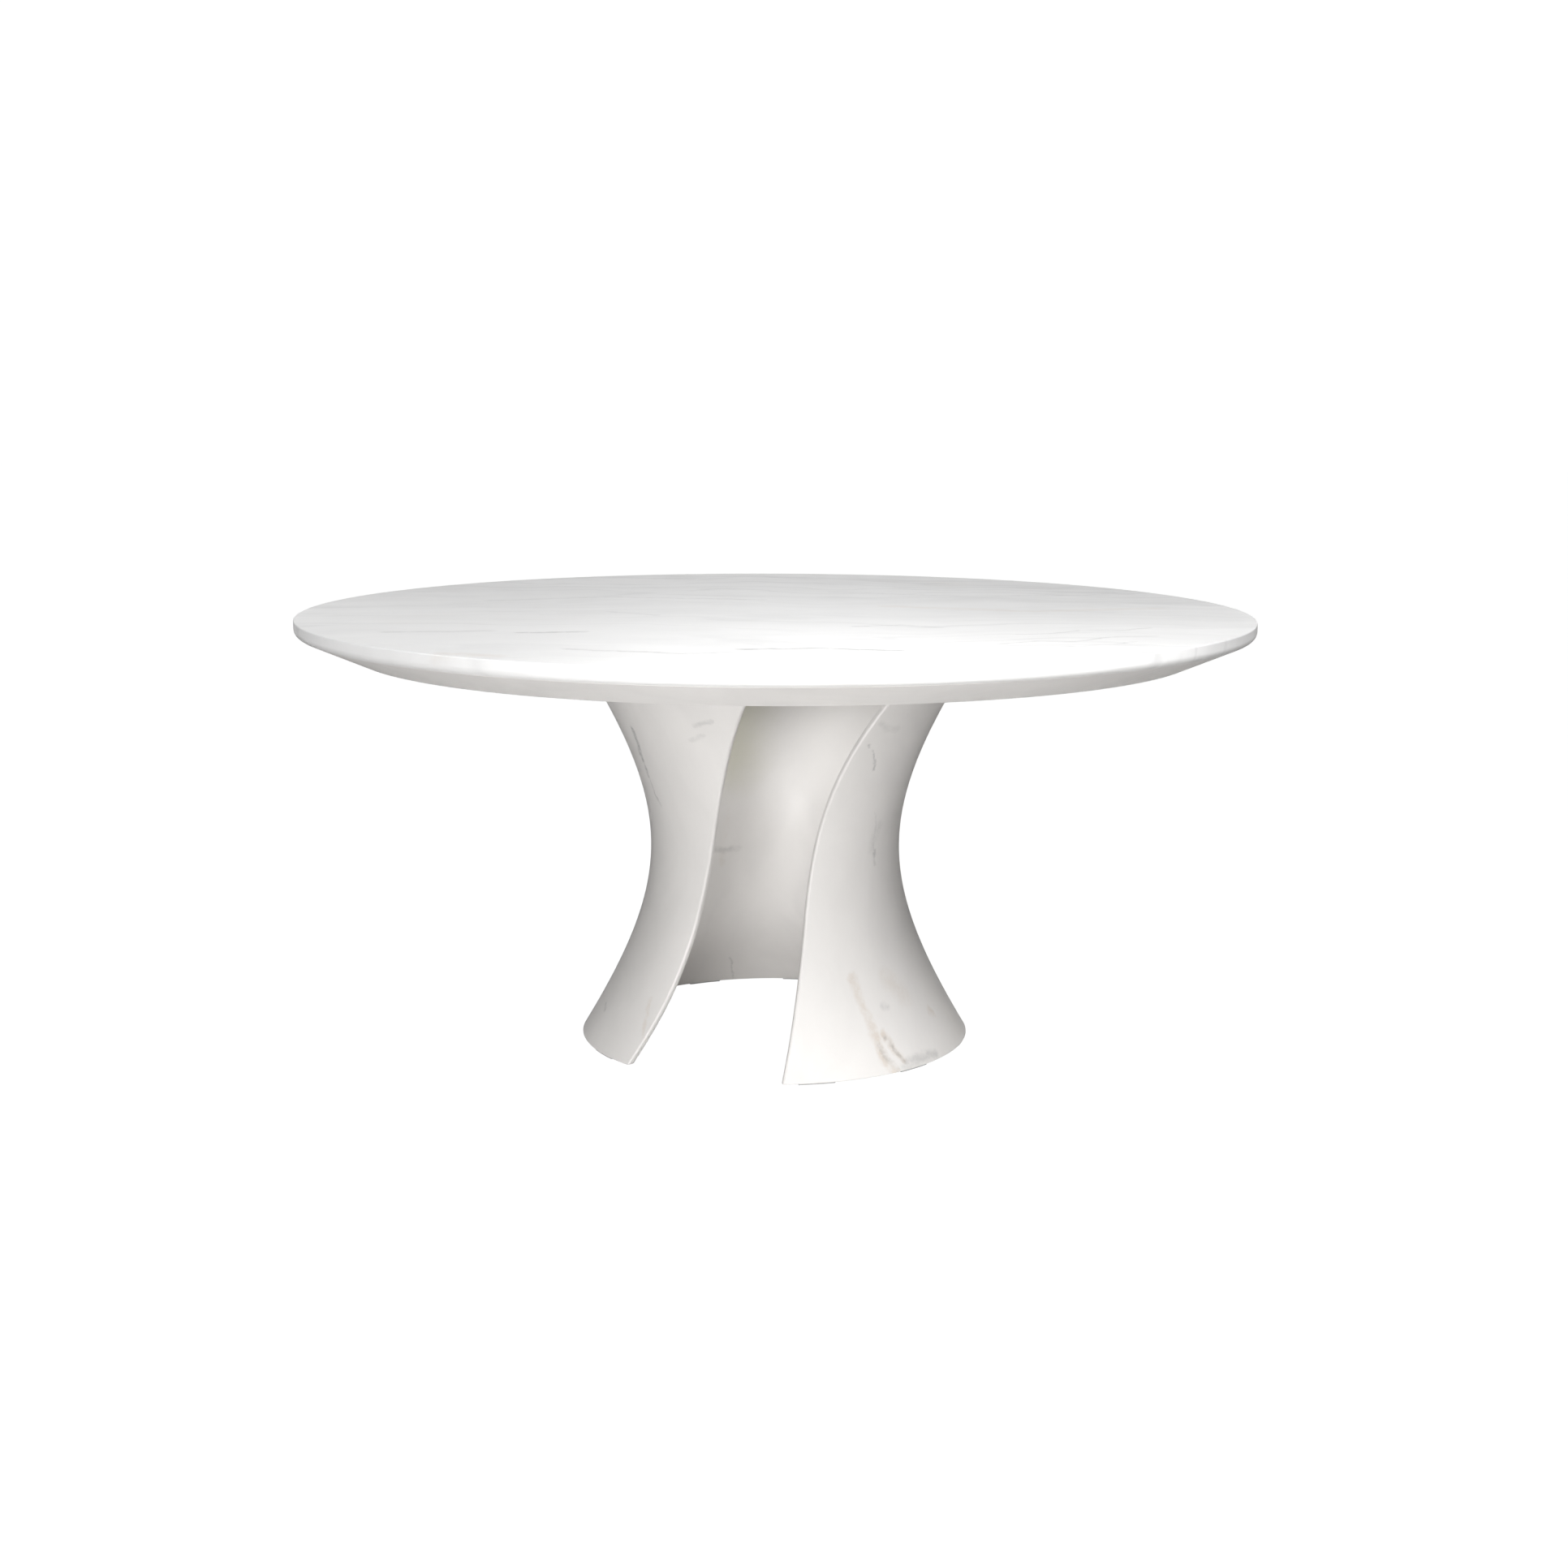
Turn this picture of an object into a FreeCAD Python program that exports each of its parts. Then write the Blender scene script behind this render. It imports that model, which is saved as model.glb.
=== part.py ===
"""Round pedestal table: a bevelled marble top on a thin waisted stone shell with one slanted slot.

Millimetres, +Z up.  The origin is on the floor under the middle of the top, and the slot opens
towards -Y.  Azimuths are in degrees from the front (-Y), positive towards +X.
"""
import FreeCAD, Part
import math
import os

# ---- Driving dimensions -------------------------------------------------------------------
table_height = 730.0
top_radius = 800.0

# Top: a thin slab over a bevelled ring that hides a plywood core.  The slanted face starts on the
# slab and runs on down the ring; it would meet the upright rim at bevel_rise above the underside.
slab_thickness = 25.0
rim_arris = 2.0
rim_rounding = 12.0
bevel_drop = 38.0
bevel_rise = 42.0
bevel_foot_radius = 703.0
bevel_ring_inner_radius = 690.0
core_gap = 0.5
backing_thickness = 3.0

# Base: a sheet of constant thickness bent to a hyperboloid, r = waist * sqrt(1 + (dz / spread)^2)
waist_radius = 213.8
waist_height = 332.0
waist_spread = 274.0
wall = 12.0

# Slot: smooth edges through (height, left azimuth, right azimuth), from below the floor to above
# the shell.  The cut faces point at the axis.
slot_stations = (
    (-20.0, -47.5, 1.1),
    (100.0, -40.5, 6.5),
    (200.0, -36.1, 11.0),
    (300.0, -32.0, 15.0),
    (400.0, -26.3, 20.0),
    (500.0, -18.6, 26.9),
    (600.0, -10.0, 36.0),
    (700.0, -0.4, 47.4),
)

# Steel flange that bolts to the top, and the collar that joins it to the shell
ring_thickness = 8.0
ring_inner_radius = 200.0
ring_shell_gap = 1.5
collar_height = 62.0
collar_thickness = 4.0
collar_bond = 0.3
collar_slot_margin = 4.0

# M8 screws from the flange up into the core
flange_screw_count = 8
flange_screw_pitch_radius = 250.0
flange_screw_first_azimuth = 22.5
m8_radius = 4.0
m8_hole_radius = 4.5
m8_length = 25.0
m8_head_height = 5.3
m8_head_width = 13.0
m8_washer_radius = 8.0
m8_washer_thickness = 1.6
core_insert_radius = 6.0
core_insert_length = 20.0

# M6 screws from the collar out into the shell
collar_screw_count = 8
collar_screw_end_margin = 10.0
m6_radius = 3.0
m6_hole_radius = 3.3
m6_head_radius = 5.25
m6_head_top_radius = 3.15
m6_head_height = 3.3
m6_flange_radius = 6.8
m6_flange_thickness = 0.9
m6_seat_gap = 0.1
m6_socket_width = 4.0
m6_socket_depth = 2.0
shell_insert_radius = 4.5
shell_insert_length = 9.0
m6_tip_clearance = 1.0

# Thin glides under the shell's lower edge
pad_count = 10
pad_first_azimuth = 12.0
pad_step = 32.0
pad_length = 60.0
pad_width = 10.0
pad_thickness = 2.0

# ---- Sizes worked out from them -----------------------------------------------------------
slab_bottom = table_height - slab_thickness
top_underside = slab_bottom - bevel_drop
rim_corner_height = top_underside + bevel_rise
slab_foot_radius = bevel_foot_radius + (top_radius - bevel_foot_radius) * bevel_drop / bevel_rise
core_bottom = top_underside + backing_thickness
ring_bottom = top_underside - ring_thickness
collar_bottom = ring_bottom - collar_height
collar_middle = ring_bottom - collar_height / 2

# Cutting shapes reach past what they cut by these amounts, and curves follow the formula this closely
overshoot = 20.0
cut_margin = 2.0
far_radius = 520.0
profile_points = 17
offset_steps = 20

Vector = FreeCAD.Vector
up = Vector(0, 0, 1)
origin = Vector(0, 0, 0)
outline_azimuth = 90.0
hexagon_sides = 6
tolerance = 0.01


# ---- Helpers --------------------------------------------------------------------------------
def at(radius, azimuth, z):
    """Point at a radius, an azimuth in degrees and a height."""
    angle = math.radians(azimuth)
    return Vector(radius * math.sin(angle), -radius * math.cos(angle), z)


def outward(azimuth):
    return at(1.0, azimuth, 0.0)


def shell_radius(z):
    return waist_radius * math.sqrt(1 + ((z - waist_height) / waist_spread) ** 2)


def shell_slope(z):
    """Growth of the outer radius with height."""
    return waist_radius ** 2 * (z - waist_height) / waist_spread ** 2 / shell_radius(z)


def offset_point(z, depth):
    """Radius and height of the point that lies depth inside the outer face at height z."""
    slope = shell_slope(z)
    length = math.sqrt(1 + slope ** 2)
    return shell_radius(z) - depth / length, z + depth * slope / length


def offset_radius(z, depth):
    """Radius, at height z, of the surface that lies depth inside the outer face."""
    source = z
    for _ in range(offset_steps):
        source += z - offset_point(source, depth)[1]
    return offset_point(source, depth)[0]


def slot_edges(z):
    """Left and right azimuths of the slot at height z, straight between the stations."""
    for lower, upper in zip(slot_stations, slot_stations[1:]):
        if z <= upper[0]:
            share = (z - lower[0]) / (upper[0] - lower[0])
            return [lower[side] + share * (upper[side] - lower[side]) for side in (1, 2)]


def turned(points, sweep=360.0, start=outline_azimuth):
    """Solid turned about the axis from an outline of (radius, height) points, from azimuth start on."""
    corners = [Vector(radius, 0, z) for radius, z in points]
    face = Part.Face(Part.makePolygon(corners + corners[:1]))
    solid = face.revolve(origin, up, sweep)
    solid.rotate(origin, up, start - outline_azimuth)
    return solid


def shell_layer(low, high, outer_depth, inner_depth):
    """Full ring between two depths inside the shell's outer face, cut flat at both heights."""
    bottom = low - overshoot
    top = high + overshoot
    heights = [bottom + (top - bottom) * i / (profile_points - 1) for i in range(profile_points)]
    curves = []
    for depth in (outer_depth, inner_depth):
        curve = Part.BSplineCurve()
        curve.interpolate([Vector(offset_radius(z, depth), 0, z) for z in heights])
        curves.append(curve.toShape())
    outer, inner = curves
    ends = []
    for index in (0, -1):
        ends.append(Part.makeLine(outer.Vertexes[index].Point, inner.Vertexes[index].Point))
    face = Part.Face(Part.Wire(Part.__sortEdges__([outer, inner] + ends)))
    slice_disc = Part.makeCylinder(far_radius, high - low, Vector(0, 0, low))
    return face.revolve(origin, up, 360).common(slice_disc)


def placed(shape, position, direction):
    """A shape built along +Z, moved so that it stands at position and points in direction."""
    copy = shape.copy()
    copy.Placement = FreeCAD.Placement(position, FreeCAD.Rotation(up, direction))
    return copy


def hexagon(width, height):
    """Hexagonal prism with the given width across its flats."""
    corner_radius = width / 2 / math.cos(math.pi / hexagon_sides)
    corners = [at(corner_radius, 360 * i / hexagon_sides, 0) for i in range(hexagon_sides)]
    return Part.Face(Part.makePolygon(corners + corners[:1])).extrude(Vector(0, 0, height))


def export(name, shape):
    shape.exportStep("parts/" + name + ".step")
    solids = len(shape.Solids)
    print(name, "solids", solids, "valid", shape.isValid(), "litres", round(shape.Volume / 1e6, 4))


# ---- Fixing positions ---------------------------------------------------------------------
def flange_screw_points(z):
    step = 360.0 / flange_screw_count
    return [at(flange_screw_pitch_radius, flange_screw_first_azimuth + step * i, z)
            for i in range(flange_screw_count)]


def collar_span():
    """First and last azimuth of the collar, which stops short of the slot on both sides."""
    first = slot_edges(ring_bottom)[1] + collar_slot_margin
    last = 360 + slot_edges(collar_bottom)[0] - collar_slot_margin
    return first, last


def collar_screw_azimuths():
    first, last = collar_span()
    first += collar_screw_end_margin
    last -= collar_screw_end_margin
    step = (last - first) / (collar_screw_count - 1)
    return [first + step * i for i in range(collar_screw_count)]


def wall_frame(azimuth, depth):
    """Point at a depth inside the outer face at the collar's middle, and the outward normal there."""
    slope = shell_slope(collar_middle)
    normal = outward(azimuth) - up * slope
    normal.normalize()
    surface = at(shell_radius(collar_middle), azimuth, collar_middle)
    return surface - normal * depth, normal


# ---- Top ------------------------------------------------------------------------------------
def rounded_circle(solid, z, radius):
    """The solid with its outer circular edge at height z rounded."""
    circles = [edge for edge in solid.Edges
               if abs(edge.BoundBox.ZMin - z) < tolerance and abs(edge.BoundBox.ZMax - z) < tolerance
               and edge.Length > top_radius]
    return solid.makeFillet(radius, circles)


def top_slab():
    solid = turned([(0, slab_bottom), (slab_foot_radius, slab_bottom), (top_radius, rim_corner_height),
                    (top_radius, table_height), (0, table_height)])
    solid = rounded_circle(solid, table_height, rim_arris)
    return rounded_circle(solid, rim_corner_height, rim_rounding)


def bevel_ring():
    return turned([(bevel_ring_inner_radius, top_underside), (bevel_foot_radius, top_underside),
                   (slab_foot_radius, slab_bottom), (bevel_ring_inner_radius, slab_bottom)])


def core_disc():
    radius = bevel_ring_inner_radius - core_gap
    solid = Part.makeCylinder(radius, slab_bottom - core_bottom, Vector(0, 0, core_bottom))
    holes = [Part.makeCylinder(core_insert_radius, core_insert_length, point)
             for point in flange_screw_points(core_bottom)]
    return solid.cut(Part.makeCompound(holes))


def backing_sheet():
    radius = bevel_ring_inner_radius - core_gap
    solid = Part.makeCylinder(radius, backing_thickness, Vector(0, 0, top_underside))
    holes = [Part.makeCylinder(m8_hole_radius, backing_thickness, point)
             for point in flange_screw_points(top_underside)]
    return solid.cut(Part.makeCompound(holes))


def core_inserts():
    inserts = []
    for point in flange_screw_points(core_bottom):
        sleeve = Part.makeCylinder(core_insert_radius, core_insert_length, point)
        inserts.append(sleeve.cut(Part.makeCylinder(m8_radius, core_insert_length, point)))
    return Part.makeCompound(inserts)


# ---- Base -----------------------------------------------------------------------------------
def slot_wedge():
    """Everything between the slot's two edges, from the axis out past the shell."""
    sections = []
    for z, left, right in slot_stations:
        corners = [Vector(0, 0, z), at(far_radius, left, z), at(far_radius, right, z)]
        sections.append(Part.makePolygon(corners + corners[:1]))
    return Part.makeLoft(sections, True, False)


def base_shell():
    shell = shell_layer(pad_thickness, top_underside, 0.0, wall)
    shell = shell.cut(slot_wedge())
    holes = []
    for azimuth in collar_screw_azimuths():
        point, normal = wall_frame(azimuth, wall + cut_margin)
        hole = Part.makeCylinder(shell_insert_radius, shell_insert_length + cut_margin)
        holes.append(placed(hole, point, normal))
    return shell.cut(Part.makeCompound(holes))


def shell_inserts():
    inserts = []
    for azimuth in collar_screw_azimuths():
        point, normal = wall_frame(azimuth, wall)
        sleeve = Part.makeCylinder(shell_insert_radius, shell_insert_length)
        bore = Part.makeCylinder(m6_radius, shell_insert_length)
        inserts.append(placed(sleeve.cut(bore), point, normal))
    return Part.makeCompound(inserts)


def floor_pads():
    middle_radius = (shell_radius(pad_thickness) + offset_radius(pad_thickness, wall)) / 2
    sweep = math.degrees(pad_length / middle_radius)
    section = [(middle_radius - pad_width / 2, 0), (middle_radius + pad_width / 2, 0),
               (middle_radius + pad_width / 2, pad_thickness), (middle_radius - pad_width / 2, pad_thickness)]
    pads = []
    for i in range(pad_count):
        azimuth = pad_first_azimuth + pad_step * i
        pads.append(turned(section, sweep, azimuth - sweep / 2))
    return Part.makeCompound(pads)


# ---- Flange and collar --------------------------------------------------------------------
def mount_ring():
    radius = offset_radius(ring_bottom, wall) - ring_shell_gap
    solid = turned([(ring_inner_radius, ring_bottom), (radius, ring_bottom),
                    (radius, top_underside), (ring_inner_radius, top_underside)])
    holes = [Part.makeCylinder(m8_hole_radius, ring_thickness, point)
             for point in flange_screw_points(ring_bottom)]
    return solid.cut(Part.makeCompound(holes))


def flange_washers():
    washers = []
    for point in flange_screw_points(ring_bottom - m8_washer_thickness):
        disc = Part.makeCylinder(m8_washer_radius, m8_washer_thickness, point)
        washers.append(disc.cut(Part.makeCylinder(m8_hole_radius, m8_washer_thickness, point)))
    return Part.makeCompound(washers)


def flange_screws():
    head_top = ring_bottom - m8_washer_thickness
    head = hexagon(m8_head_width, m8_head_height)
    crown = Part.makeCone(m8_head_width / 2, m8_head_width / 2 + m8_head_height, m8_head_height)
    shank = Part.makeCylinder(m8_radius, m8_length, Vector(0, 0, m8_head_height))
    screw = head.common(crown).fuse(shank)
    return Part.makeCompound([placed(screw, point, up)
                              for point in flange_screw_points(head_top - m8_head_height)])


def collar_band():
    outer = wall + collar_bond
    ring = shell_layer(collar_bottom, ring_bottom, outer, outer + collar_thickness)
    first, last = collar_span()
    low = collar_bottom - cut_margin
    high = ring_bottom + cut_margin
    outline = [(cut_margin, low), (far_radius, low), (far_radius, high), (cut_margin, high)]
    band = ring.common(turned(outline, last - first, first))
    holes = []
    for azimuth in collar_screw_azimuths():
        point, normal = wall_frame(azimuth, outer + collar_thickness + cut_margin)
        hole = Part.makeCylinder(m6_hole_radius, collar_thickness + 2 * cut_margin)
        holes.append(placed(hole, point, normal))
    return band.cut(Part.makeCompound(holes))


def collar_screws():
    seat = wall + collar_bond + collar_thickness + m6_seat_gap
    shank_length = seat - wall + shell_insert_length - m6_tip_clearance
    shank = Part.makeCylinder(m6_radius, shank_length)
    flange = Part.makeCylinder(m6_flange_radius, m6_flange_thickness, Vector(0, 0, -m6_flange_thickness))
    head = Part.makeCone(m6_head_top_radius, m6_head_radius, m6_head_height, Vector(0, 0, -m6_head_height))
    socket = hexagon(m6_socket_width, m6_socket_depth)
    socket.translate(Vector(0, 0, -m6_head_height))
    screw = shank.fuse([flange, head]).cut(socket)
    screws = []
    for azimuth in collar_screw_azimuths():
        point, normal = wall_frame(azimuth, seat)
        screws.append(placed(screw, point, normal))
    return Part.makeCompound(screws)


nodes = {
    "top_slab": top_slab,
    "bevel_ring": bevel_ring,
    "core_disc": core_disc,
    "backing_sheet": backing_sheet,
    "core_inserts": core_inserts,
    "mount_ring": mount_ring,
    "flange_washers": flange_washers,
    "flange_screws": flange_screws,
    "collar_band": collar_band,
    "collar_screws": collar_screws,
    "shell_inserts": shell_inserts,
    "base_shell": base_shell,
    "floor_pads": floor_pads,
}

os.makedirs("parts", exist_ok=True)
for node_name, build in nodes.items():
    export(node_name, build())
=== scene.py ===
"""Looks of the round pedestal table: marble meshes with rounded arrises, procedural stone, steel,
plywood and plastics, a pale floor and soft studio light.  Metres, in the frame of the CAD model."""
import math

import bmesh
import bpy
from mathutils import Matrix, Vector


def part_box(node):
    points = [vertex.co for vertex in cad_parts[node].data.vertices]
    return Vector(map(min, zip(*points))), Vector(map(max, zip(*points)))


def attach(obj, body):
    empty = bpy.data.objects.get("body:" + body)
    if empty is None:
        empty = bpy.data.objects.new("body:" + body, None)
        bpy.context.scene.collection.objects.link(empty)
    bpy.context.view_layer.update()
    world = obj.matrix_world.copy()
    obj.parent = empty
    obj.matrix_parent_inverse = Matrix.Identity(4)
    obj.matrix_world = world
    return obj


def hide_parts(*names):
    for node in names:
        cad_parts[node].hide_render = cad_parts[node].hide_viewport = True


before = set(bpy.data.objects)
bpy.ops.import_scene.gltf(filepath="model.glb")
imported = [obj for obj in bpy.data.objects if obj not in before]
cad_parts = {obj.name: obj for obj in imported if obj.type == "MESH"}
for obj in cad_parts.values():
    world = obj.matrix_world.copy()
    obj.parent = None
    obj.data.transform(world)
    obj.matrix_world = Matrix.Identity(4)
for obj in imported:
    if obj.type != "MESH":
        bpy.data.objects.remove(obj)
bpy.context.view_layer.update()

# ---- Sizes, from the frame and from the table's driving dimensions --------------------------
slab_low, slab_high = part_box("top_slab")
ring_low, ring_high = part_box("bevel_ring")
shell_low, shell_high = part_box("base_shell")
collar_low, collar_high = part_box("collar_band")

TOP_RADIUS = 0.800
BEVEL_RISE = 0.042          # the bevel would meet the upright rim this far above its foot
RIM_ROUNDING = 0.012
BEVEL_FOOT_RADIUS = 0.703
BEVEL_INNER_RADIUS = 0.690
SLAB_INNER_RING = 0.40       # radius of the mesh ring on the slab's underside
SLAB_UPPER_RINGS = (0.75, 0.60, 0.40, 0.20)
TOP_ARRIS = 0.002
JOINT_ARRIS = 0.0006
FOOT_ARRIS = 0.0012

WAIST_RADIUS = 0.2138
WAIST_HEIGHT = 0.332
WAIST_SPREAD = 0.274
WALL = 0.012
SLOT_ROUNDING = 0.004
SHELL_ARRIS = 0.0014
SLOT_STATIONS = (
    (-0.02, -47.5, 1.1),
    (0.10, -40.5, 6.5),
    (0.20, -36.1, 11.0),
    (0.30, -32.0, 15.0),
    (0.40, -26.3, 20.0),
    (0.50, -18.6, 26.9),
    (0.60, -10.0, 36.0),
    (0.70, -0.4, 47.4),
)
COLLAR_MARGIN = 4.0
COLLAR_BOND = 0.0003
COLLAR_THICKNESS = 0.004
BEAD_END_MARGIN = 1.0
WELD_SIZE = 0.0028
WELD_RIPPLE = 0.12
ADHESIVE_SIZE = 0.0017
ADHESIVE_RIPPLE = 0.05
ADHESIVE_DEPTH = 0.0014
ADHESIVE_DROP = 0.0002

# Mesh fineness
LARGE_ROUNDING = 0.005
LARGE_ARC_STEPS = 12
SMALL_ARC_STEPS = 4
SLOT_ARC_SEGMENTS = 6
SHELL_ARC_SEGMENTS = 3
SHARP_ANGLE = 40


# ---- Geometry helpers -----------------------------------------------------------------------
def at(radius, azimuth, z):
    """Point at a radius, an azimuth in degrees from the front (-Y), and a height."""
    angle = math.radians(azimuth)
    return Vector((radius * math.sin(angle), -radius * math.cos(angle), z))


def shell_radius(z):
    return WAIST_RADIUS * math.sqrt(1 + ((z - WAIST_HEIGHT) / WAIST_SPREAD) ** 2)


def shell_slope(z):
    return WAIST_RADIUS ** 2 * (z - WAIST_HEIGHT) / WAIST_SPREAD ** 2 / shell_radius(z)


def inner_radius(z, depth):
    """Radius, at height z, of the surface that lies depth inside the shell's outer face."""
    source = z
    for _ in range(20):
        slope = shell_slope(source)
        source += z - (source + depth * slope / math.sqrt(1 + slope ** 2))
    slope = shell_slope(source)
    return shell_radius(source) - depth / math.sqrt(1 + slope ** 2)


def slot_edge(z, side):
    """Azimuth of the slot's left (side 1) or right (side 2) edge: a smooth curve through the stations."""
    points = [(station[0], station[side]) for station in SLOT_STATIONS]
    last = len(points) - 1
    index = max(i for i in range(last) if i == 0 or points[i][0] <= z)

    def slope(i):
        before = points[max(i - 1, 0)]
        after = points[min(i + 1, last)]
        return (after[1] - before[1]) / (after[0] - before[0])

    (z0, a0), (z1, a1) = points[index], points[index + 1]
    step = z1 - z0
    t = (z - z0) / step
    return ((2 * t ** 3 - 3 * t ** 2 + 1) * a0 + (t ** 3 - 2 * t ** 2 + t) * step * slope(index)
            + (3 * t ** 2 - 2 * t ** 3) * a1 + (t ** 3 - t ** 2) * step * slope(index + 1))


def spread(low, high, count):
    return [low + (high - low) * i / (count - 1) for i in range(count)]


def round_edges(bm, upright, radius, segments):
    """Rounds the sharp edges that stand upright, or else those that lie level."""
    bmesh.ops.recalc_face_normals(bm, faces=bm.faces)
    sharp = []
    for edge in bm.edges:
        rise = abs(edge.verts[0].co.z - edge.verts[1].co.z)
        if (rise > 1e-5) == upright and edge.calc_face_angle() > math.radians(SHARP_ANGLE):
            sharp.append(edge)
    bmesh.ops.bevel(bm, geom=sharp, offset=radius, segments=segments, profile=0.5, affect="EDGES")


def finish_mesh(name, bm):
    """Shades smooth with face-weighted normals and returns the object."""
    bmesh.ops.recalc_face_normals(bm, faces=bm.faces)
    for face in bm.faces:
        face.smooth = True
    mesh = bpy.data.meshes.new(name)
    bm.to_mesh(mesh)
    bm.free()
    rough = bpy.data.objects.new(name, mesh)
    bpy.context.scene.collection.objects.link(rough)
    weighted = rough.modifiers.new("weighted", "WEIGHTED_NORMAL")
    weighted.weight = 90
    graph = bpy.context.evaluated_depsgraph_get()
    rough.data = bpy.data.meshes.new_from_object(rough.evaluated_get(graph))
    rough.modifiers.clear()
    rough.data.name = name
    return rough


def lathe(name, outline, segments=384):
    """Closed solid turned from an outline of (radius, height) points; a zero radius is on the axis."""
    bm = bmesh.new()
    rings = []
    for radius, z in outline:
        if radius == 0:
            rings.append([bm.verts.new((0, 0, z))])
        else:
            rings.append([bm.verts.new(at(radius, 360 * i / segments, z)) for i in range(segments)])
    pairs = list(zip(rings, rings[1:]))
    if len(rings[0]) > 1:
        pairs.append((rings[-1], rings[0]))
    for first, second in pairs:
        for i in range(segments):
            j = (i + 1) % segments
            corners = [first[i % len(first)], first[j % len(first)],
                       second[j % len(second)], second[i % len(second)]]
            unique = list(dict.fromkeys(corners))
            if len(unique) > 2:
                bm.faces.new(unique)
    return finish_mesh(name, bm)


def rounded(before, corner, after, radius):
    """Points of an arc that rounds an outline's corner; a large rounding gets more of them."""
    steps = LARGE_ARC_STEPS if radius > LARGE_ROUNDING else SMALL_ARC_STEPS
    corner = Vector(corner)
    to_before = (Vector(before) - corner).normalized()
    to_after = (Vector(after) - corner).normalized()
    half = to_before.angle(to_after) / 2
    centre = corner + (to_before + to_after).normalized() * radius / math.sin(half)
    start = (corner + to_before * radius / math.tan(half) - centre).normalized()
    end = (corner + to_after * radius / math.tan(half) - centre).normalized()
    return [tuple(centre + start.slerp(end, i / steps).normalized() * radius) for i in range(steps + 1)]


def outline_with_arrises(corners, radii):
    """Closed outline whose corners are rounded by the given radii; None keeps a corner sharp."""
    points = []
    count = len(corners)
    for i, (corner, radius) in enumerate(zip(corners, radii)):
        if radius is None:
            points.append(tuple(corner))
        else:
            points += rounded(corners[i - 1], corner, corners[(i + 1) % count], radius)
    return points


# ---- Marble pieces --------------------------------------------------------------------------
def bevel_radius(z):
    """Radius of the slanted face that runs from the foot of the ring up to the rim."""
    return BEVEL_FOOT_RADIUS + (TOP_RADIUS - BEVEL_FOOT_RADIUS) * (z - ring_low.z) / BEVEL_RISE


def build_slab():
    low, high = slab_low.z, slab_high.z
    upper_face = [(radius, high) for radius in SLAB_UPPER_RINGS] + [(0, high)]
    corners = [(0, low), (SLAB_INNER_RING, low), (bevel_radius(low), low),
               (TOP_RADIUS, ring_low.z + BEVEL_RISE), (TOP_RADIUS, high)] + upper_face
    radii = [None, None, JOINT_ARRIS, RIM_ROUNDING, TOP_ARRIS] + [None] * len(upper_face)
    return lathe("marble_slab", outline_with_arrises(corners, radii))


def build_bevel():
    middle_z = (ring_low.z + ring_high.z) / 2
    corners = [(BEVEL_INNER_RADIUS, ring_low.z), (BEVEL_FOOT_RADIUS, ring_low.z),
               (bevel_radius(middle_z), middle_z), (bevel_radius(ring_high.z), ring_high.z),
               (BEVEL_INNER_RADIUS, ring_high.z)]
    radii = [None, FOOT_ARRIS, None, JOINT_ARRIS, None]
    return lathe("marble_bevel", outline_with_arrises(corners, radii))


def build_pedestal(columns=240, rows=132):
    """The shell: a sheet of constant thickness, closed round its four edges, with rounded arrises."""
    heights = spread(shell_low.z, shell_high.z, rows)
    bm = bmesh.new()
    faces = []
    for depth in (0.0, WALL):
        grid = []
        for z in heights:
            radius = inner_radius(z, depth)
            azimuths = spread(slot_edge(z, 2), 360 + slot_edge(z, 1), columns)
            grid.append([bm.verts.new(at(radius, azimuth, z)) for azimuth in azimuths])
        faces.append(grid)
    outer, inner = faces
    for grid in (outer, inner):
        for low_row, high_row in zip(grid, grid[1:]):
            for i in range(columns - 1):
                bm.faces.new((low_row[i], low_row[i + 1], high_row[i + 1], high_row[i]))
    for row in (0, -1):
        for i in range(columns - 1):
            bm.faces.new((outer[row][i], outer[row][i + 1], inner[row][i + 1], inner[row][i]))
    for column in (0, -1):
        for j in range(rows - 1):
            bm.faces.new((outer[j][column], outer[j + 1][column], inner[j + 1][column], inner[j][column]))
    round_edges(bm, True, SLOT_ROUNDING, SLOT_ARC_SEGMENTS)
    round_edges(bm, False, SHELL_ARRIS, SHELL_ARC_SEGMENTS)
    return finish_mesh("marble_pedestal", bm)


# ---- Small made-on-site pieces ----------------------------------------------------------------
def bead(name, azimuths, radius_and_height, size, ripple, sides=10):
    """Rounded bead laid along a circle, swollen and pinched along its length by the ripple."""
    bm = bmesh.new()
    rings = []
    count = len(azimuths)
    for i, azimuth in enumerate(azimuths):
        radius, z = radius_and_height
        taper = min(1.0, 0.15 + 0.2 * min(i, count - 1 - i))
        swell = size * taper * (1 + ripple * math.sin(i * math.tau / 6))
        ring = []
        for k in range(sides):
            angle = math.tau * k / sides
            ring.append(bm.verts.new(at(radius + swell * math.cos(angle), azimuth,
                                        z + swell * math.sin(angle))))
        rings.append(ring)
    for first, second in zip(rings, rings[1:]):
        for k in range(sides):
            m = (k + 1) % sides
            bm.faces.new((first[k], first[m], second[m], second[k]))
    for ring in (rings[0], rings[-1]):
        bm.faces.new(ring)
    return finish_mesh(name, bm)


def collar_azimuths(count):
    first = slot_edge(collar_high.z, 2) + COLLAR_MARGIN
    last = 360 + slot_edge(collar_low.z, 1) - COLLAR_MARGIN
    return spread(first + BEAD_END_MARGIN, last - BEAD_END_MARGIN, count)


def build_weld():
    """Weld in the corner between the flange's underside and the collar's inside face."""
    radius = inner_radius(collar_high.z, WALL + COLLAR_BOND + COLLAR_THICKNESS)
    return bead("flange_weld", collar_azimuths(1600), (radius, collar_high.z), WELD_SIZE, WELD_RIPPLE)


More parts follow.
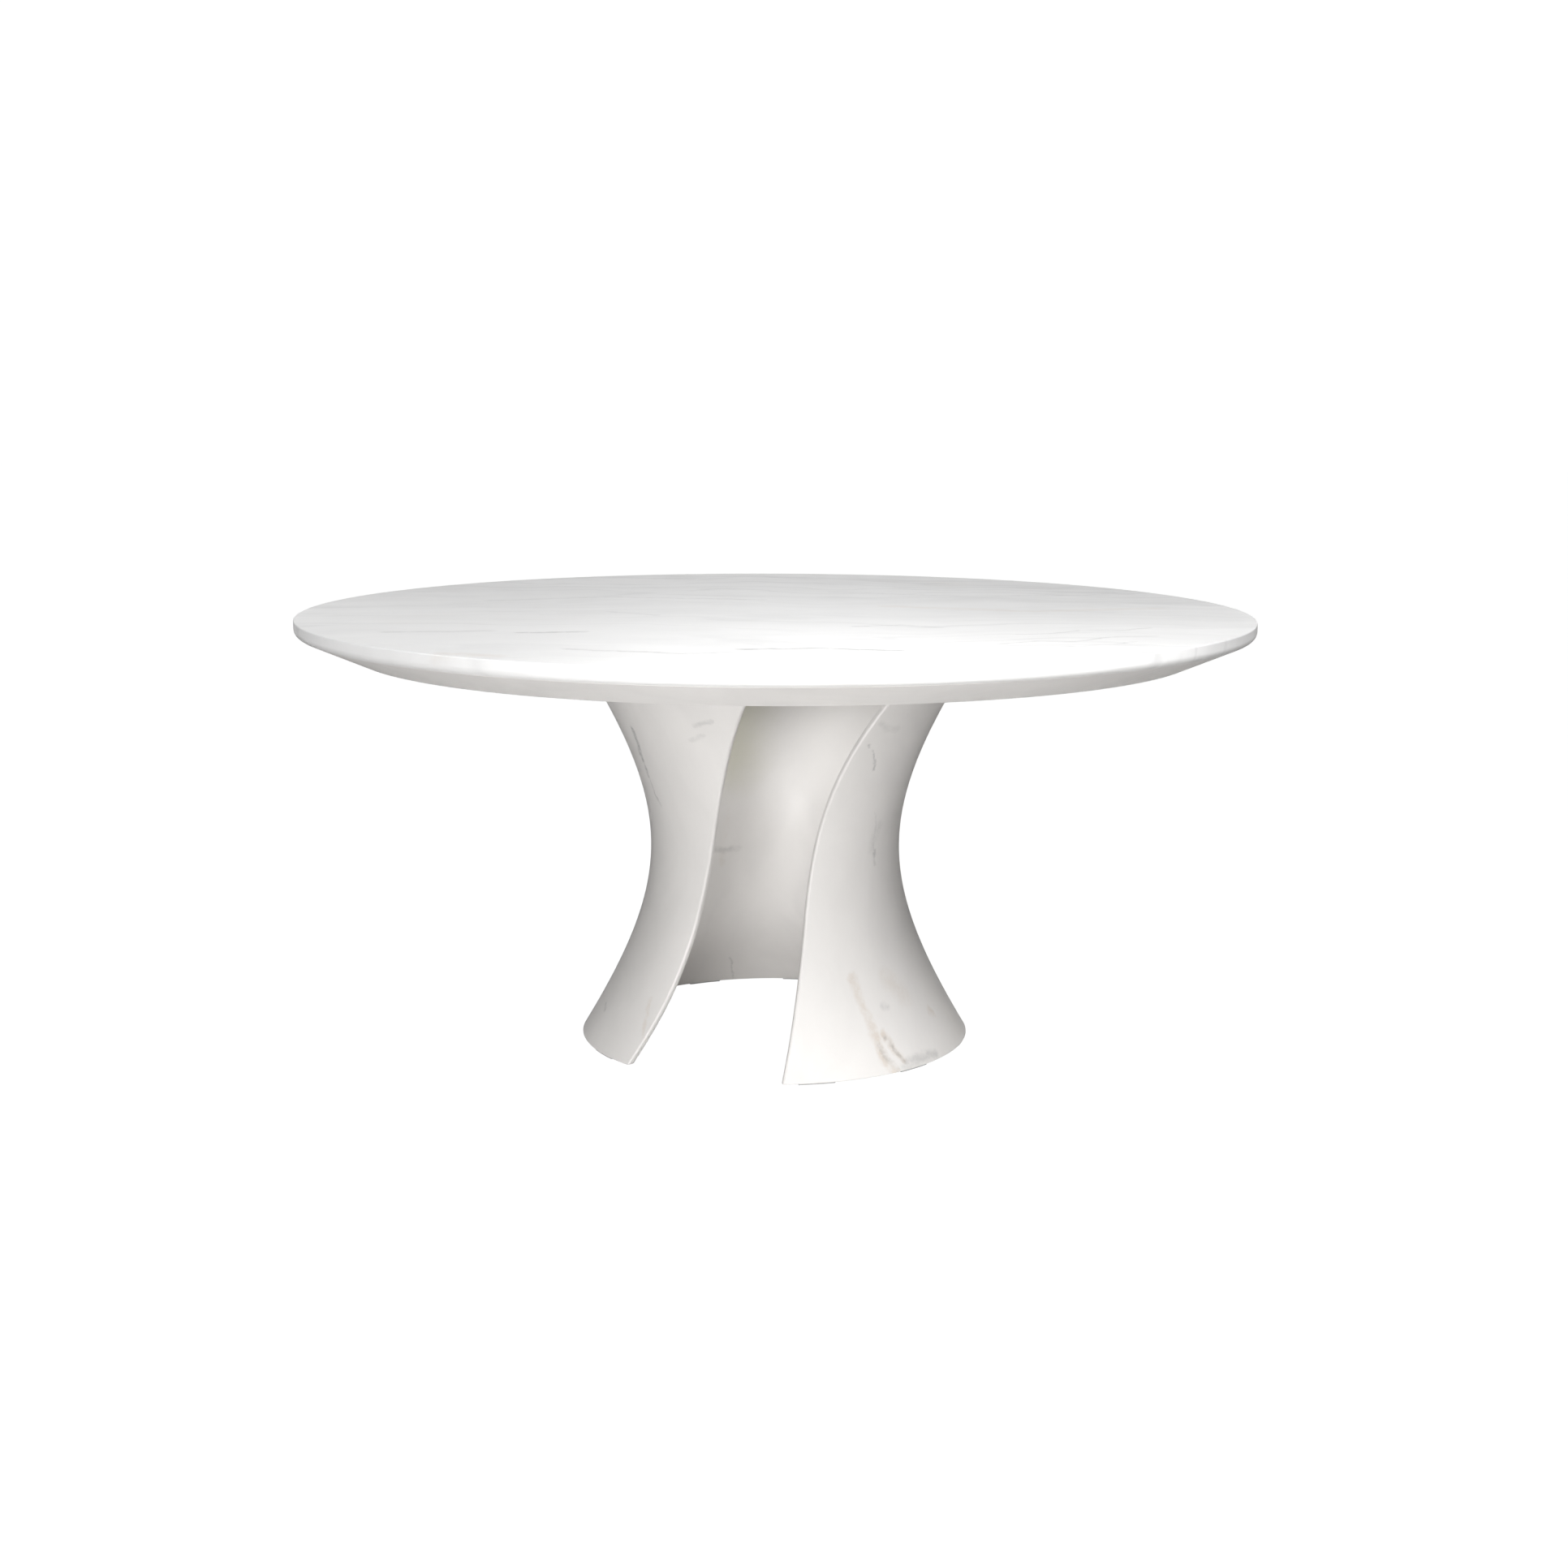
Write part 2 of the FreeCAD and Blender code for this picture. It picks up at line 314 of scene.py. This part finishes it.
def build_sealant():
    """Thin line of adhesive squeezed out under the collar's lower edge."""
    radius = inner_radius(collar_low.z, WALL + ADHESIVE_DEPTH)
    place = (radius, collar_low.z - ADHESIVE_DROP)
    return bead("collar_sealant", collar_azimuths(900), place, ADHESIVE_SIZE, ADHESIVE_RIPPLE)


# ---- Materials ------------------------------------------------------------------------------
class Graph:
    """A material's nodes, made and linked in one call each."""

    def __init__(self, name):
        self.material = bpy.data.materials.new(name)
        self.material.use_nodes = True
        self.tree = self.material.node_tree
        self.tree.nodes.clear()
        self.output = self.tree.nodes.new("ShaderNodeOutputMaterial")
        self.shader = self.tree.nodes.new("ShaderNodeBsdfPrincipled")
        self.link(self.shader.outputs[0], self.output.inputs["Surface"])
        self.place = self.tree.nodes.new("ShaderNodeTexCoord").outputs["Object"]

    def link(self, source, target):
        self.tree.links.new(source, target)

    def feed(self, socket, value):
        if isinstance(value, bpy.types.NodeSocket):
            self.link(value, socket)
        else:
            socket.default_value = value

    def math(self, operation, *values, clamp=False):
        node = self.tree.nodes.new("ShaderNodeMath")
        node.operation = operation
        node.use_clamp = clamp
        for socket, value in zip(node.inputs, values):
            self.feed(socket, value)
        return node.outputs[0]

    def vector(self, operation, *values):
        node = self.tree.nodes.new("ShaderNodeVectorMath")
        node.operation = operation
        for socket, value in zip(node.inputs, values):
            self.feed(socket, value)
        gives_number = operation in ("DOT_PRODUCT", "DISTANCE")
        return node.outputs["Value"] if gives_number else node.outputs[0]

    def scaled(self, vector, factors):
        return self.vector("MULTIPLY", vector, factors)

    def noise(self, vector, scale, detail=4.0, roughness=0.5, distortion=0.0, colour=False):
        node = self.tree.nodes.new("ShaderNodeTexNoise")
        self.feed(node.inputs["Vector"], vector)
        node.inputs["Scale"].default_value = scale
        node.inputs["Detail"].default_value = detail
        node.inputs["Roughness"].default_value = roughness
        node.inputs["Distortion"].default_value = distortion
        return node.outputs["Color"] if colour else node.outputs["Fac"]

    def span(self, value, low, high, out_low=0.0, out_high=1.0):
        """Smooth step of value from low to high."""
        node = self.tree.nodes.new("ShaderNodeMapRange")
        node.interpolation_type = "SMOOTHSTEP"
        for name, number in (("Value", value), ("From Min", low), ("From Max", high),
                             ("To Min", out_low), ("To Max", out_high)):
            self.feed(node.inputs[name], number)
        return node.outputs["Result"]

    def mix(self, factor, first, second, blend="MIX"):
        node = self.tree.nodes.new("ShaderNodeMix")
        node.data_type = "RGBA"
        node.blend_type = blend
        for index, value in ((0, factor), (6, first), (7, second)):
            self.feed(node.inputs[index], value)
        return node.outputs[2]

    def bump(self, height, distance, strength=1.0):
        node = self.tree.nodes.new("ShaderNodeBump")
        node.inputs["Distance"].default_value = distance
        node.inputs["Strength"].default_value = strength
        self.feed(node.inputs["Height"], height)
        self.link(node.outputs[0], self.shader.inputs["Normal"])

    def set(self, **values):
        for name, value in values.items():
            self.feed(self.shader.inputs[name.replace("_", " ")], value)


def grey(level, warmth=0.0):
    """Linear colour of a level, made slightly warm or cool."""
    return (level * (1 + warmth), level, level * (1 - warmth), 1.0)


# Veins and painted shade: a tone, a width, a strength and the points of a line.  Those of the top are (x,
# y) on its upper face, and those of the shell are (azimuth, height) on its outer or inner face; a few of
# the shell's lines are painted shade.
TOP_VEINS = (
    ("grey", 0.014, 0.62, ((-0.05, -0.565), (0.06, -0.545), (0.18, -0.570))),
    ("grey", 0.012, 0.34, ((-0.30, -0.565), (-0.13, -0.620), (-0.05, -0.590))),
    ("grey", 0.014, 0.44, ((-0.39, -0.350), (-0.30, -0.330))),
    ("grey", 0.014, 0.26, ((-0.60, -0.345), (-0.44, -0.320))),
    ("grey", 0.012, 0.28, ((0.13, -0.240), (0.20, -0.215), (0.26, -0.250))),
    ("grey", 0.009, 0.30, ((0.33, -0.480), (0.39, -0.440), (0.45, -0.445), (0.51, -0.380), (0.58, -0.365))),
    ("grey", 0.007, 0.28, ((0.37, -0.350), (0.43, -0.330), (0.48, -0.285), (0.55, -0.280), (0.60, -0.240))),
    ("grey", 0.007, 0.24, ((0.43, -0.510), (0.49, -0.490), (0.54, -0.450))),
    ("grey", 0.010, 0.22, ((-0.28, -0.010), (-0.20, -0.070))),
    ("grey", 0.009, 0.26, ((-0.52, 0.18), (-0.30, 0.26), (-0.02, 0.22))),
    ("grey", 0.009, 0.24, ((0.10, 0.38), (0.34, 0.30), (0.62, 0.34))),
    ("beige", 0.030, 0.22, ((-0.47, -0.625), (-0.40, -0.655))),
    ("beige", 0.030, 0.16, ((0.20, 0.10), (0.44, 0.02), (0.66, 0.08))),
)
SHELL_VEINS_AND_PAINTED_SHADE = (
    ("grey", 0.0090, 0.70, "outer", ((-60, 0.548), (-62, 0.500), (-62, 0.465))),
    ("grey", 0.0050, 0.35, "outer", ((-62, 0.465), (-60, 0.435), (-57, 0.415))),
    ("grey", 0.0080, 0.26, "outer", ((-27, 0.574), (-21, 0.583))),
    ("grey", 0.0060, 0.16, "outer", ((-31, 0.549), (-25, 0.556))),
    ("grey", 0.0080, 0.42, "outer", ((-75, 0.066), (-73, 0.058))),
    ("grey", 0.0070, 0.34, "outer", ((-71, 0.040), (-70, 0.034))),
    ("beige", 0.0070, 0.26, "outer", ((-47, 0.100), (-46, 0.070), (-44, 0.045))),
    ("grey", 0.0065, 0.62, "outer", ((34.8, 0.538), (36.0, 0.535))),
    ("grey", 0.0048, 0.48, "outer", ((36, 0.535), (38.6, 0.523), (41.5, 0.490))),
    ("grey", 0.0100, 0.16, "outer", ((36, 0.572), (45, 0.560))),
    ("grey", 0.0045, 0.22, "outer", ((47, 0.430), (50, 0.375), (50.5, 0.320))),
    ("grey", 0.0065, 0.42, "outer", ((50.8, 0.348), (50.7, 0.338))),
    ("grey", 0.0140, 0.14, "outer", ((52.8, 0.388), (48.5, 0.354))),
    ("beige", 0.0130, 0.30, "outer", ((29.8, 0.146), (32.4, 0.098), (33.0, 0.062))),
    ("beige", 0.0150, 0.42, "outer", ((33.0, 0.062), (34.2, 0.026), (36.4, 0.004))),
    ("beige", 0.0110, 0.40, "outer", ((36.6, 0.060), (38.8, 0.037), (41.0, 0.020))),
    ("grey", 0.0070, 0.42, "outer", ((37.1, 0.055), (39.1, 0.035), (41.6, 0.017))),
    ("grey", 0.0090, 0.26, "outer", ((33.8, 0.046), (35.6, 0.024), (37.6, 0.007))),
    # Painted shade: these two grey lines run level just above the floor along the front-right foot, a
    # painted contact shadow at the floor line.
    ("grey", 0.0130, 0.30, "outer", ((41.5, 0.016), (48.0, 0.014), (54.5, 0.013))),
    ("grey", 0.0110, 0.22, "outer", ((39.3, 0.009), (46.1, 0.007))),
    ("grey", 0.0090, 0.26, "outer", ((40.0, 0.101), (41.5, 0.096))),
    ("beige", 0.0110, 0.34, "outer", ((61.5, 0.071), (63.0, 0.064))),
    ("beige", 0.0280, 0.16, "outer", ((46, 0.135), (51, 0.105))),
    ("grey", 0.0100, 0.24, "inner", ((-147, 0.283), (-154, 0.279), (-162, 0.281))),
    ("grey", 0.0040, 0.34, "inner", ((-162.5, 0.055), (-163.5, 0.035), (-165, 0.006))),
    # Painted shade: this broad olive band at the top of the hollow's inner back wall is the stone's olive
    # tint, darkened as shade under the tabletop.
    ("olive", 0.1100, 0.48, "inner", ((-166, 0.66), (-164, 0.57), (-156, 0.46))),
    ("grey", 0.0060, 0.30, "outer", ((118, 0.60), (124, 0.48), (139, 0.36), (141, 0.27))),
    ("grey", 0.0080, 0.26, "outer", ((176, 0.20), (188, 0.12), (193, 0.03))),
    ("beige", 0.0150, 0.26, "outer", ((196, 0.46), (204, 0.36), (207, 0.26))),
    ("grey", 0.0050, 0.30, "outer", ((222, 0.58), (231, 0.50), (229, 0.40))),
    ("grey", 0.0060, 0.26, "outer", ((88, 0.16), (95, 0.10), (96, 0.02))),
)
TRACE = (1e-7, 1e-7, 1e-7)
MIDDLE_GREY = (0.5, 0.5, 0.5)

# Fine veins all over the stone: how many to the metre, width, how much of the stone has them, strength
VEIN_LAYERS = (
    (1.2, 0.030, 0.46, 0.22),
    (2.6, 0.040, 0.50, 0.20),
    (5.5, 0.050, 0.48, 0.17),
)
# Tones of the drawn lines; the olive one is partly the stone's tint and partly painted shade.
VEIN_AND_SHADE_COLOURS = {
    "grey": (0.235, 0.240, 0.235, 1.0),
    "beige": (0.52, 0.40, 0.28, 1.0),
    "olive": (0.55, 0.54, 0.38, 1.0),
}


def vein_masks(graph, place, veins):
    """One mask a tone: 1 on a vein's line, falling to 0 at its width.

    Each line's place takes in a trace of the mask before it, so that the renderer works through
    the lines one at a time and never holds them all at once.
    """
    masks = {}
    mask = None
    for tone, width, strength, points in veins:
        for start, end in zip(points, points[1:]):
            along = end - start
            if mask is not None:
                place = graph.vector("MULTIPLY_ADD", mask, TRACE, place)
            offset = graph.vector("SUBTRACT", place, tuple(start))
            share = graph.vector("DOT_PRODUCT", offset, tuple(along / along.length_squared))
            share = graph.math("ADD", share, 0.0, clamp=True)
            nearest = graph.tree.nodes.new("ShaderNodeVectorMath")
            nearest.operation = "SCALE"
            nearest.inputs[0].default_value = along
            graph.link(share, nearest.inputs["Scale"])
            distance = graph.vector("DISTANCE", offset, nearest.outputs[0])
            mask = graph.span(distance, width * 0.1, width, strength, 0.0)
            masks[tone] = graph.math("MAXIMUM", masks[tone], mask) if tone in masks else mask
    return masks


def marble(name, veins, shift, warmth, stretch, veining):
    """White marble: soft clouds, fine broken veins, stronger drawn veins with any painted shade given among
    them, crystal grain, honed sheen.

    The bedding is drawn out along the axes where stretch is small, and veining is how strongly the
    fine veins show.
    """
    graph = Graph(name)
    place = graph.vector("ADD", graph.place, shift)
    bend = graph.noise(place, 1.7, 3.0, 0.5, colour=True)
    bend = graph.scaled(graph.vector("SUBTRACT", bend, MIDDLE_GREY), (0.55, 0.45, 0.35))
    ragged = graph.noise(place, 19.0, 4.0, 0.6, colour=True)
    ragged = graph.scaled(graph.vector("SUBTRACT", ragged, MIDDLE_GREY), (0.035, 0.035, 0.035))
    bent = graph.vector("ADD", place, bend)
    flow = graph.vector("ADD", graph.scaled(bent, stretch), ragged)

    clouds = graph.noise(flow, 3.2, 6.0, 0.58)
    patches = graph.noise(flow, 1.1, 2.0, 0.5)
    colour = graph.mix(graph.span(clouds, 0.34, 0.70), grey(0.795, warmth), grey(0.745, warmth))
    warm = graph.span(graph.noise(bent, 1.9, 4.0, 0.6), 0.56, 0.80, 0.0, 0.40)
    colour = graph.mix(warm, colour, (0.790, 0.755, 0.705, 1.0))

    for size, width, opening, strength in VEIN_LAYERS:
        ridge = graph.math("ABSOLUTE", graph.math("SUBTRACT", graph.noise(flow, size, 2.0, 0.4), 0.5))
        line = graph.span(ridge, 0.0, width, 1.0, 0.0)
        share = graph.span(patches, opening, opening + 0.16, 0.0, strength * veining)
        shown = graph.math("MULTIPLY", line, share)
        colour = graph.mix(shown, colour, grey(0.36, -0.01))
        patches = graph.math("SUBTRACT", 1.0, patches)

    tremble = graph.noise(graph.place, 26.0, 5.0, 0.62, colour=True)
    tremble = graph.scaled(graph.vector("SUBTRACT", tremble, MIDDLE_GREY), (0.027, 0.027, 0.027))
    sway = graph.noise(graph.place, 7.0, 2.0, 0.5, colour=True)
    sway = graph.scaled(graph.vector("SUBTRACT", sway, MIDDLE_GREY), (0.018, 0.018, 0.018))
    drawn_place = graph.vector("ADD", graph.place, graph.vector("ADD", tremble, sway))
    masks = vein_masks(graph, drawn_place, veins)
    broken = graph.span(graph.noise(graph.place, 60.0, 4.0, 0.7), 0.32, 0.62, 0.38, 1.0)
    deepest = 0.0
    for tone in sorted(masks):
        mask = masks[tone]
        # The olive tone is the stone's tint plus painted shade under the tabletop, and is drawn unbroken.
        if tone != "olive":
            mask = graph.math("MULTIPLY", mask, broken)
        colour = graph.mix(mask, colour, VEIN_AND_SHADE_COLOURS[tone])
        if tone == "grey":
            deepest = graph.math("MAXIMUM", deepest, mask)

    crystals = graph.noise(graph.place, 900.0, 2.0, 0.5)
    colour = graph.mix(0.05, colour, crystals, blend="OVERLAY")
    haze = graph.noise(graph.place, 14.0, 4.0, 0.6)
    roughness = graph.span(haze, 0.3, 0.7, 0.38, 0.46)
    roughness = graph.math("ADD", roughness, graph.math("MULTIPLY", deepest, 0.12))
    relief = graph.noise(graph.place, 3.5, 2.0, 0.4)
    relief = graph.math("ADD", graph.math("MULTIPLY", crystals, 0.25), relief)
    relief = graph.math("SUBTRACT", relief, graph.math("MULTIPLY", deepest, 0.15))
    graph.bump(relief, 0.0004, 0.35)
    graph.set(Base_Color=colour, Roughness=roughness)
    graph.set(Specular_IOR_Level=0.5)
    return graph.material


def top_vein_lines():
    return [(tone, width, strength, [Vector((x, y, slab_high.z)) for x, y in points])
            for tone, width, strength, points in TOP_VEINS]


def shell_vein_and_shade_lines():
    lines = []
    for tone, width, strength, side, points in SHELL_VEINS_AND_PAINTED_SHADE:
        depth = 0.0 if side == "outer" else WALL
        places = [at(inner_radius(z, depth), azimuth, z) for azimuth, z in points]
        lines.append((tone, width, strength, places))
    return lines


def plywood():
    """Birch plywood: fine lengthwise grain on the faces, thin light and dark plies at the edge."""
    graph = Graph("birch_plywood")
    bend = graph.noise(graph.place, 3.0, 3.0, 0.5, colour=True)
    along = graph.vector("ADD", graph.scaled(graph.place, (2.0, 60.0, 60.0)), bend)
    grain = graph.noise(along, 2.0, 8.0, 0.6)
    colour = graph.mix(graph.span(grain, 0.3, 0.7), (0.62, 0.45, 0.27, 1.0), (0.50, 0.34, 0.19, 1.0))
    height = graph.tree.nodes.new("ShaderNodeSeparateXYZ")
    graph.link(graph.place, height.inputs[0])
    ply = graph.math("SINE", graph.math("MULTIPLY", height.outputs["Z"], math.tau / 0.0028))
    colour = graph.mix(graph.span(ply, -0.2, 0.2, 0.0, 0.35), colour, (0.33, 0.21, 0.11, 1.0))
    graph.bump(grain, 0.0002, 0.5)
    graph.set(Base_Color=colour, Roughness=graph.span(grain, 0.2, 0.8, 0.55, 0.72))
    return graph.material


def fine_plastic(name, tint, dimple, low, high):
    """Moulded or pressed plastic: fine dimples, faint mottling and uneven sheen."""
    graph = Graph(name)
    mottle = graph.noise(graph.place, 9.0, 5.0, 0.6)
    dark = tuple(0.93 * value for value in tint[:3]) + (1.0,)
    grains = graph.noise(graph.place, dimple, 2.0, 0.5)
    graph.bump(grains, 0.00015, 0.6)
    graph.set(Base_Color=graph.mix(graph.span(mottle, 0.35, 0.7), tint, dark),
              Roughness=graph.span(mottle, 0.3, 0.7, low, high))
    return graph.material


def coated_steel():
    """White powder coat: orange peel, a little dust in the hollows of the finish."""
    graph = Graph("white_powder_coat")
    peel = graph.noise(graph.place, 420.0, 3.0, 0.5)
    dust = graph.noise(graph.place, 11.0, 6.0, 0.65)
    colour = graph.mix(graph.span(dust, 0.45, 0.75, 0.0, 0.6), grey(0.74), grey(0.60, 0.02))
    graph.bump(peel, 0.0002, 0.7)
    graph.set(Base_Color=colour, Roughness=graph.span(peel, 0.3, 0.7, 0.36, 0.50))
    return graph.material


def metal(name, bright, dull, stretch, low, high):
    """Bare metal: turning or rolling lines, duller stains and uneven sheen."""
    graph = Graph(name)
    lines = graph.noise(graph.scaled(graph.place, stretch), 40.0, 4.0, 0.6)
    stain = graph.noise(graph.place, 55.0, 5.0, 0.6)
    colour = graph.mix(graph.span(stain, 0.4, 0.7), bright, dull)
    graph.bump(lines, 0.0001, 0.5)
    graph.set(Base_Color=colour, Roughness=graph.span(lines, 0.3, 0.7, low, high))
    graph.set(Metallic=1.0)
    return graph.material


# ---- Pieces on the frame --------------------------------------------------------------------
def dress(piece, material):
    piece.data.materials.clear()
    piece.data.materials.append(material)


top_marble = marble("top_marble", top_vein_lines(), (0.0, 0.0, 0.0), 0.003, (0.45, 2.4, 1.0), 1.0)
shell_marble = marble("shell_marble", shell_vein_and_shade_lines(), (3.1, 1.7, 0.4), 0.024, (1.5, 1.5, 0.6), 0.3)
bevel_marble = marble("bevel_marble", [], (0.0, 0.0, 0.0), 0.020, (0.9, 2.4, 1.0), 0.4)

for piece, node, slot, material in (
    (build_slab(), "top_slab", "marble", top_marble),
    (build_bevel(), "bevel_ring", "marble", bevel_marble),
    (build_pedestal(), "base_shell", "marble_shell", shell_marble),
):
    dress(piece, material)
    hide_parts(node)
    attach(piece, "root")

powder_coat = coated_steel()
zinc = metal("bright_zinc", grey(0.62), grey(0.44, 0.03), (1.0, 1.0, 8.0), 0.26, 0.42)
for piece, slot, material in (
    (build_weld(), "coated_steel", powder_coat),
    (build_sealant(), "glide", fine_plastic("white_sealant", grey(0.70), 300.0, 0.30, 0.42)),
):
    dress(piece, material)
    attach(piece, "root")

cad_materials = {
    "core_disc": plywood(),
    "backing_sheet": fine_plastic("white_laminate", grey(0.74), 700.0, 0.42, 0.55),
    "mount_ring": powder_coat,
    "collar_band": powder_coat,
    "core_inserts": zinc,
    "flange_screws": zinc,
    "flange_washers": zinc,
    "collar_screws": zinc,
    "shell_inserts": metal("turned_brass", (0.72, 0.50, 0.20, 1.0), (0.52, 0.34, 0.13, 1.0),
                           (1.0, 1.0, 8.0), 0.22, 0.38),
    "floor_pads": fine_plastic("clear_grey_glide", grey(0.52), 500.0, 0.35, 0.50),
}
for node, material in cad_materials.items():
    dress(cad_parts[node], material)

# ---- Floor, light and camera ----------------------------------------------------------------
FLOOR_SIZE = 60.0
FLOOR_GLOW = 0.90
FLOOR_BRIGHTNESS = 1.12
BACKDROP_BRIGHTNESS = 1.05
WHITE = (1.0, 1.0, 1.0, 1.0)


def build_floor(divisions=12):
    """Large pale floor: plain, faintly mottled, and bright to the camera like a lit studio sweep."""
    bm = bmesh.new()
    bmesh.ops.create_grid(bm, x_segments=divisions, y_segments=divisions, size=FLOOR_SIZE / 2)
    mesh = bpy.data.meshes.new("floor")
    bm.to_mesh(mesh)
    bm.free()
    floor = bpy.data.objects.new("floor", mesh)
    bpy.context.scene.collection.objects.link(floor)
    graph = Graph("pale_floor")
    mottle = graph.noise(graph.place, 2.0, 4.0, 0.6)
    colour = graph.mix(graph.span(mottle, 0.3, 0.7), grey(0.62, 0.015), grey(0.60, 0.015))
    graph.set(Base_Color=colour, Roughness=0.9)
    glow = graph.tree.nodes.new("ShaderNodeEmission")
    glow.inputs["Color"].default_value = WHITE
    glow.inputs["Strength"].default_value = FLOOR_BRIGHTNESS
    seen = graph.tree.nodes.new("ShaderNodeLightPath").outputs["Is Camera Ray"]
    blend = graph.tree.nodes.new("ShaderNodeMixShader")
    graph.link(graph.math("MULTIPLY", seen, FLOOR_GLOW), blend.inputs[0])
    graph.link(graph.shader.outputs[0], blend.inputs[1])
    graph.link(glow.outputs[0], blend.inputs[2])
    graph.link(blend.outputs[0], graph.output.inputs["Surface"])
    mesh.materials.append(graph.material)


# Soft glow from the back of the studio, over a faint even light: azimuth and elevation in degrees
GLOW_AZIMUTH = 180
GLOW_ELEVATION = 6
GLOW_SHARPNESS = 10
GLOW_STRENGTH = 1.46
STUDIO_BASE = 0.03

# Soft boxes: name, place, size, watts, and whether they show as a highlight.  All face the table's
# middle.  The last two are faint fills in the pedestal's hollow.
SOFT_BOXES = (
    ("key_left", (-0.8, -3.2, 0.60), 0.9, 42.5, True),
    ("key_high", (0.0, -3.3, 1.10), 0.9, 20.8, True),
    ("front_near", (0.3, -1.3, 1.30), 0.6, 8.6, True),
    ("front_right", (1.5, -2.0, 1.50), 1.0, 5.5, True),
    ("high_front_right", (0.9, -1.4, 1.70), 0.6, 7.3, True),
    ("high_right", (1.6, -0.5, 1.90), 0.6, 14.0, True),
    ("high_left", (-1.5, -0.35, 1.70), 1.0, 12.5, True),
    ("high_rear", (0.0, 1.5, 2.00), 1.0, 8.2, True),
    ("hollow_high", (0.0, 0.0, 0.58), 0.3, 0.30, False),
    ("hollow_low", (0.0, 0.0, 0.05), 0.3, 0.19, False),
)
AIM = Vector((0.0, 0.0, 0.45))


def build_world():
    world = bpy.data.worlds.new("studio")
    bpy.context.scene.world = world
    world.use_nodes = True
    tree = world.node_tree
    tree.nodes.clear()
    direction = tree.nodes.new("ShaderNodeTexCoord").outputs["Generated"]
    rise = math.radians(GLOW_ELEVATION)
    facing = tree.nodes.new("ShaderNodeVectorMath")
    facing.operation = "DOT_PRODUCT"
    tree.links.new(direction, facing.inputs[0])
    facing.inputs[1].default_value = at(math.cos(rise), GLOW_AZIMUTH, math.sin(rise))
    ahead = tree.nodes.new("ShaderNodeMath")
    ahead.operation = "MAXIMUM"
    tree.links.new(facing.outputs["Value"], ahead.inputs[0])
    ahead.inputs[1].default_value = 0.0
    lobe = tree.nodes.new("ShaderNodeMath")
    lobe.operation = "POWER"
    tree.links.new(ahead.outputs[0], lobe.inputs[0])
    lobe.inputs[1].default_value = GLOW_SHARPNESS
    gain = tree.nodes.new("ShaderNodeMath")
    gain.operation = "MULTIPLY_ADD"
    tree.links.new(lobe.outputs[0], gain.inputs[0])
    gain.inputs[1].default_value = GLOW_STRENGTH
    gain.inputs[2].default_value = STUDIO_BASE
    light = tree.nodes.new("ShaderNodeBackground")
    tree.links.new(gain.outputs[0], light.inputs["Strength"])
    backdrop = tree.nodes.new("ShaderNodeBackground")
    backdrop.inputs["Color"].default_value = WHITE
    backdrop.inputs["Strength"].default_value = BACKDROP_BRIGHTNESS
    blend = tree.nodes.new("ShaderNodeMixShader")
    tree.links.new(tree.nodes.new("ShaderNodeLightPath").outputs["Is Camera Ray"], blend.inputs[0])
    tree.links.new(light.outputs[0], blend.inputs[1])
    tree.links.new(backdrop.outputs[0], blend.inputs[2])
    output = tree.nodes.new("ShaderNodeOutputWorld")
    tree.links.new(blend.outputs[0], output.inputs["Surface"])


def build_soft_boxes():
    for name, place, size, watts, highlight in SOFT_BOXES:
        light = bpy.data.lights.new(name, "AREA")
        light.shape = "DISK"
        light.size = size
        light.energy = watts
        lamp = bpy.data.objects.new(name, light)
        lamp.location = place
        lamp.rotation_mode = "QUATERNION"
        lamp.rotation_quaternion = (AIM - Vector(place)).to_track_quat("-Z", "Y")
        lamp.visible_camera = False
        lamp.visible_glossy = highlight
        bpy.context.scene.collection.objects.link(lamp)


CAMERA_PLACE = Vector((0.0, -3.739, 1.095))
CAMERA_YAW = math.radians(0.23)
CAMERA_PITCH = math.radians(10.04)
CAMERA_ROLL = math.radians(0.22)
CAMERA_LENS = 50.7
SENSOR = 36.0


def build_camera():
    camera_data = bpy.data.cameras.new("camera")
    camera_data.sensor_width = SENSOR
    camera_data.lens = CAMERA_LENS
    camera = bpy.data.objects.new("camera", camera_data)
    bpy.context.scene.collection.objects.link(camera)
    bpy.context.scene.camera = camera
    flat = Vector((math.sin(CAMERA_YAW), math.cos(CAMERA_YAW), 0.0))
    forward = flat * math.cos(CAMERA_PITCH) + Vector((0, 0, -math.sin(CAMERA_PITCH)))
    right = forward.cross(Vector((0, 0, 1))).normalized()
    up = right.cross(forward)
    turned_right = right * math.cos(CAMERA_ROLL) + up * math.sin(CAMERA_ROLL)
    turned_up = up * math.cos(CAMERA_ROLL) - right * math.sin(CAMERA_ROLL)
    matrix = camera.matrix_world.copy()
    for row in range(3):
        matrix[row][0] = turned_right[row]
        matrix[row][1] = turned_up[row]
        matrix[row][2] = -forward[row]
        matrix[row][3] = CAMERA_PLACE[row]
    camera.matrix_world = matrix


build_floor()
build_world()
build_soft_boxes()
build_camera()
scene = bpy.context.scene
scene.view_settings.view_transform = "Standard"
scene.view_settings.look = "None"
scene.cycles.use_denoising = True
